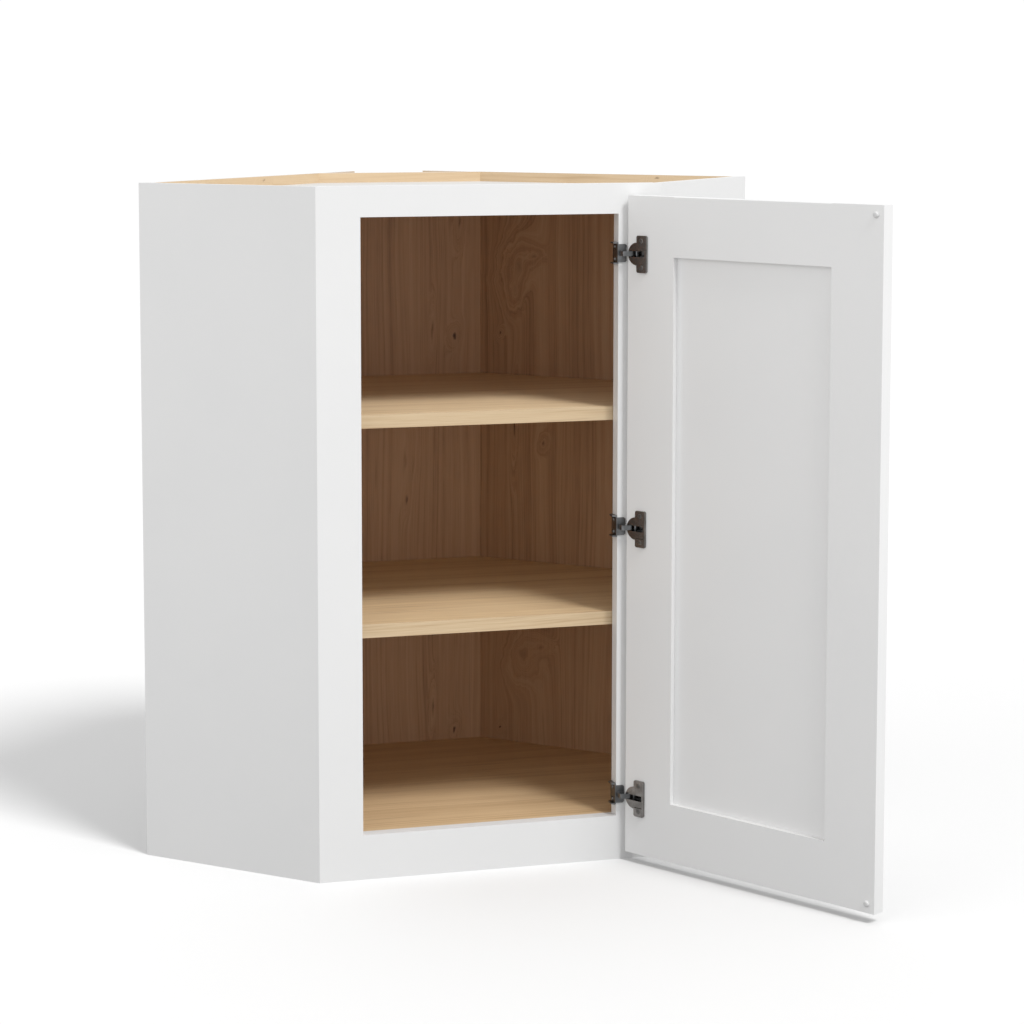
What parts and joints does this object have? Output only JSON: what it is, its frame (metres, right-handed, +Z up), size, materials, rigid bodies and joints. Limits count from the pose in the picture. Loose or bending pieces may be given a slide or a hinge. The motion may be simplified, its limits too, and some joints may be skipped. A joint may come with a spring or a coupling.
{
  "type": "corner wall cabinet",
  "caption": "Diagonal corner wall cabinet with a framed front, a recessed-panel door hung on compact cup hinges, and shelves, door open.",
  "frame": {"origin": "middle of the bottom rail's underside, at the diagonal front", "axes": "+Z up, -Y out of the diagonal front, +Y towards the room's corner, +X to the right seen from the front"},
  "size_m": [0.8622, 0.9314, 0.9144],
  "materials": {
    "white_paint": "satin white paint on wood",
    "cabinet_box": "plywood, painted white outside, natural wood veneer inside",
    "veneer_back": "natural wood veneer with vertical grain inside, white outside",
    "maple_panel": "clear-coated natural wood veneer",
    "maple_edge": "clear-coated wood edge band",
    "hinge_steel": "dark nickel plating",
    "screw_steel": "dark nickel plating",
    "nickel": "nickel plating",
    "clear_rubber": "clear soft bumper"
  },
  "bodies": {
    "cabinet": {"bottom_panel": "cabinet_box", "corner_back_panel": "veneer_back", "frame_bottom_rail": "white_paint", "frame_left_stile": "white_paint", "frame_right_stile": "white_paint", "frame_top_rail": "white_paint", "left_back_panel": "veneer_back", "left_side_panel": "cabinet_box", "lower_hinge_arm": "hinge_steel", "lower_hinge_edge_plate": "hinge_steel", "lower_hinge_edge_screws": "screw_steel", "lower_shelf": "maple_panel", "lower_shelf_edge_band": "maple_edge", "lower_shelf_pins": "nickel", "middle_hinge_arm": "hinge_steel", "middle_hinge_edge_plate": "hinge_steel", "middle_hinge_edge_screws": "screw_steel", "right_back_panel": "veneer_back", "right_side_panel": "cabinet_box", "top_panel": "cabinet_box", "upper_hinge_arm": "hinge_steel", "upper_hinge_edge_plate": "hinge_steel", "upper_hinge_edge_screws": "screw_steel", "upper_shelf": "maple_panel", "upper_shelf_edge_band": "maple_edge", "upper_shelf_pins": "nickel"},
    "door": {"door_bottom_rail": "white_paint", "door_bumpers": "clear_rubber", "door_centre_panel": "white_paint", "door_hinge_stile": "white_paint", "door_latch_stile": "white_paint", "door_top_rail": "white_paint", "lower_hinge_cup": "hinge_steel", "lower_hinge_cup_screws": "screw_steel", "lower_hinge_pin": "hinge_steel", "lower_hinge_springs": "hinge_steel", "middle_hinge_cup": "hinge_steel", "middle_hinge_cup_screws": "screw_steel", "middle_hinge_pin": "hinge_steel", "middle_hinge_springs": "hinge_steel", "upper_hinge_cup": "hinge_steel", "upper_hinge_cup_screws": "screw_steel", "upper_hinge_pin": "hinge_steel", "upper_hinge_springs": "hinge_steel"}
  },
  "joints": [
    {"name": "door_swing", "type": "hinge", "parent": "cabinet", "child": "door", "pos_m": [0.197, -0.022, 0.4572], "axis": [0, 0, 1], "range_deg": [-120, 0]}
  ]
}
